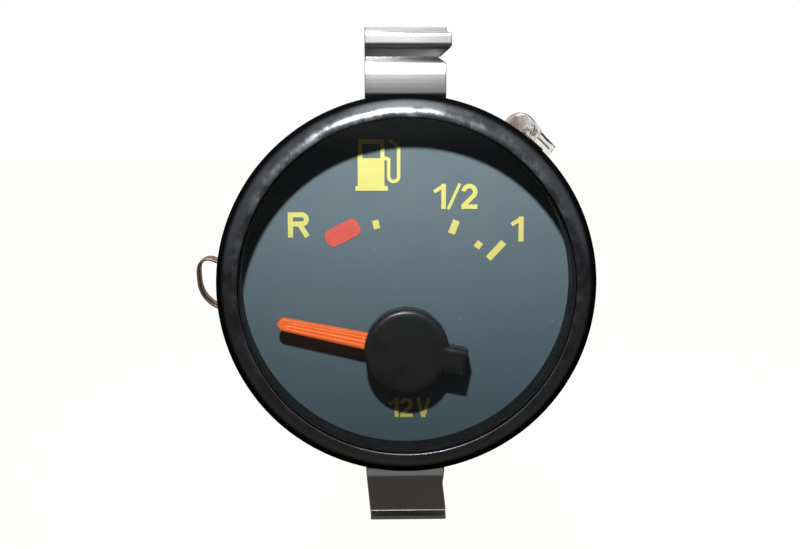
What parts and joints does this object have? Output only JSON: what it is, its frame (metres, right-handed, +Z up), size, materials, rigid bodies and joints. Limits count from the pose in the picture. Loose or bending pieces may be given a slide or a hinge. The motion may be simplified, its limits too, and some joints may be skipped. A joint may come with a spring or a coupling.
{
  "type": "fuel gauge",
  "caption": "Round panel-mounted fuel gauge with a rolled bezel, glass lens, printed dial, swinging pointer, side lamp and rear clamp strap.",
  "frame": {"origin": "on the gauge's axis, in the plane where the back of the bezel sits on the panel", "axes": "-Y out of the dial toward the viewer, +Y rearward through the panel, +Z up the dial, +X to the right as seen from the front"},
  "size_m": [0.0603, 0.0608, 0.0751],
  "materials": {
    "black_gloss": "glossy black enamel over rolled sheet",
    "lens": "clear flat glass",
    "seal": "matte",
    "visor": "satin black",
    "case_paint": "satin black paint on drawn steel",
    "window": "clear moulded",
    "dial_paint": "satin slate blue-grey",
    "yellow_ink": "screen-printed ink",
    "red_ink": "screen-printed ink",
    "orange": "fluorescent moulding",
    "cap_black": "satin moulding",
    "brass": "turned",
    "steel": "ground",
    "bright_steel": "rolled spring strip",
    "zinc": "zinc plated",
    "ferrite": "sintered magnet",
    "frame_plastic": "natural moulding",
    "copper": "enamelled copper winding",
    "shield": "soft-iron can, dull",
    "board": "laminate",
    "resistor": "ceramic body",
    "black_plastic": "moulded",
    "tin": "tinned brass",
    "lamp": "clear blown glass",
    "bronze": "dark spring bronze"
  },
  "bodies": {
    "case": {"bezel_ring": "black_gloss", "glass_lens": "lens", "lens_gasket": "seal", "visor_ring": "visor", "case_shell": "case_paint", "lamp_window": "window", "dial_plate": "dial_paint", "dial_print_yellow": "yellow_ink", "dial_print_red": "red_ink", "movement_frame": "frame_plastic", "front_bearing": "brass", "rear_bearing": "brass", "bobbin_front": "frame_plastic", "bobbin_rear": "frame_plastic", "coil_upright": "copper", "coil_level": "copper", "return_magnet": "ferrite", "shield_can": "shield", "shield_screws": "zinc", "circuit_board": "board", "ballast_resistor": "resistor", "board_spacers": "zinc", "case_screws": "zinc", "terminal_board": "black_plastic", "terminal_blades": "tin", "terminal_rivets": "brass", "earth_terminal": "zinc", "clamp_stud": "zinc", "lamp_rail": "case_paint", "earth_strip": "bronze", "earth_rivet": "zinc"},
    "pointer": {"pointer_blade": "orange", "pointer_hub_cap": "cap_black", "pointer_bush": "brass", "pointer_shaft": "steel", "stop_arm": "steel", "rotor_magnet": "ferrite"},
    "strap": {"clamp_strap": "bright_steel", "lock_washer": "steel"},
    "nut": {"thumb_nut": "brass"},
    "lamp_carrier": {"lamp_holder": "black_plastic", "lamp_contacts": "brass"},
    "lamp": {"lamp_glass": "lamp", "lamp_filament": "steel"}
  },
  "joints": [
    {"name": "pointer_sweep", "type": "hinge", "parent": "case", "child": "pointer", "pos_m": [0, 0, -0.0097], "axis": [0, 1, 0], "range_deg": [0, 126], "stiffness_Nm_per_rad": 0.00002, "springref_deg": -11.46},
    {"name": "strap_slide", "type": "slide", "parent": "case", "child": "strap", "axis": [0, 1, 0], "range_m": [0, 0.006]},
    {"name": "nut_turn", "type": "hinge", "parent": "strap", "child": "nut", "pos_m": [0, 0.0408, 0], "axis": [0, 1, 0], "range_deg": [0, 3086]},
    {"name": "lamp_slide", "type": "slide", "parent": "case", "child": "lamp_carrier", "axis": [0, 1, 0], "range_m": [0, 0.01]},
    {"name": "lamp_pull", "type": "slide", "parent": "lamp_carrier", "child": "lamp", "axis": [-0.5693, -0.6428, 0.5126], "range_m": [0, 0.0045]}
  ],
  "couplings": [
    {"joint": "nut_turn", "follows": "strap_slide", "rad_per_m": 8976}
  ]
}
